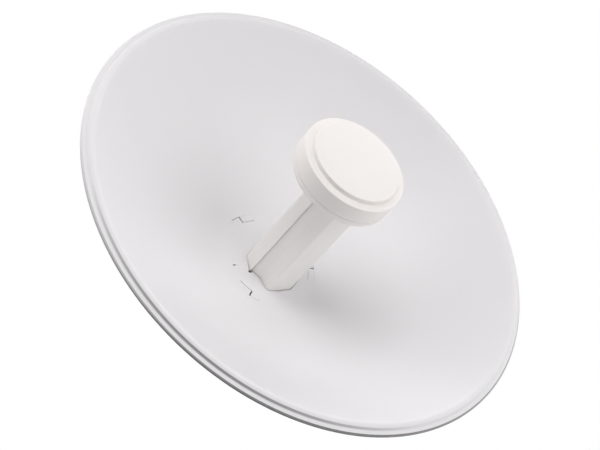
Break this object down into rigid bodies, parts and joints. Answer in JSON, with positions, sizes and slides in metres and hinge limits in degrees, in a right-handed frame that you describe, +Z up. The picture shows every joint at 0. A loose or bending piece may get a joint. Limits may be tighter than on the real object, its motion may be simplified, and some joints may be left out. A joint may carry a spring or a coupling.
{
  "type": "dish antenna",
  "caption": "Round white parabolic dish antenna with a central feed on a faceted arm, a rear housing and a tilting pole bracket.",
  "frame": {"origin": "on the axis of the pole that the bracket clamps, at the height of the dish's axis", "axes": "+Z up along the pole, -Y along the dish's boresight, +X to the right of someone looking into the dish"},
  "size_m": [0.42, 0.2784, 0.42],
  "materials": {
    "dish_white": "satin white powder coat on pressed aluminium sheet",
    "feed_grey": "fine satin moulded plastic, light warm grey",
    "radome_white": "smooth satin moulded plastic, warm white",
    "housing_white": "fine textured moulded plastic, white",
    "seal_rubber": "soft silicone rubber",
    "zinc_steel": "zinc plated pressed steel",
    "bolt_steel": "zinc plated bolt steel",
    "screw_steel": "stainless steel",
    "spring_steel": "spring wire",
    "spacer_nylon": "natural nylon",
    "insert_brass": "knurled brass",
    "bare_aluminium": "plain aluminium",
    "tinned_steel": "tinned sheet steel",
    "circuit_board": "glass fibre board with green mask",
    "copper": "etched copper",
    "thermal_pad": "soft thermal pad",
    "jack_black": "moulded black plastic",
    "light_pipe": "clear moulded plastic"
  },
  "bodies": {
    "bracket": {"pole_bracket": "zinc_steel", "carriage_bolts": "bolt_steel"},
    "head": {"dish_reflector": "dish_white", "rear_housing": "housing_white", "housing_gasket": "seal_rubber", "housing_cover": "housing_white", "cover_screws": "screw_steel", "threaded_inserts": "insert_brass", "pivot_bolts": "bolt_steel", "lock_bolts": "bolt_steel", "bolt_washers": "bolt_steel", "tilt_spacers": "spacer_nylon", "release_spring": "spring_steel"},
    "feed": {"feed_cover": "feed_grey", "feed_tray": "feed_grey", "tail_cap": "feed_grey", "tail_screws": "screw_steel", "drum_cup": "radome_white", "radome_lid": "radome_white", "radome_seal": "seal_rubber", "drum_screws": "screw_steel", "splash_plate": "bare_aluminium", "launcher_board": "circuit_board", "dipole_arms": "copper", "radio_board": "circuit_board", "board_screws": "screw_steel", "shield_can": "tinned_steel", "thermal_pad": "thermal_pad", "heat_spreader": "bare_aluminium", "ethernet_jack": "jack_black", "status_lights": "light_pipe"},
    "reset": {"reset_button": "jack_black"},
    "release": {"release_button": "housing_white"},
    "door": {"port_door": "housing_white"},
    "jaw": {"clamp_jaw": "zinc_steel", "clamp_washers": "bolt_steel", "clamp_nuts": "bolt_steel"}
  },
  "joints": [
    {"name": "tilt", "type": "hinge", "parent": "bracket", "child": "head", "pos_m": [0, -0.0605, 0], "axis": [1, 0, 0], "range_deg": [-15, 15]},
    {"name": "jaw_slide", "type": "slide", "parent": "bracket", "child": "jaw", "axis": [0, 1, 0], "range_m": [-0.008, 0.003]},
    {"name": "feed_slide", "type": "slide", "parent": "head", "child": "feed", "axis": [0, -1, 0], "range_m": [0, 0.06]},
    {"name": "release_press", "type": "slide", "parent": "head", "child": "release", "axis": [0, 0, -1], "range_m": [0, 0.002], "stiffness_N_per_m": 900, "springref_m": -0.002, "deforming": ["release_spring"]},
    {"name": "door_slide", "type": "slide", "parent": "head", "child": "door", "axis": [0, 0, -1], "range_m": [0, 0.03]},
    {"name": "reset_press", "type": "slide", "parent": "feed", "child": "reset", "axis": [0, 0, 1], "range_m": [0, 0.0005], "stiffness_N_per_m": 1500, "springref_m": -0.0005}
  ]
}
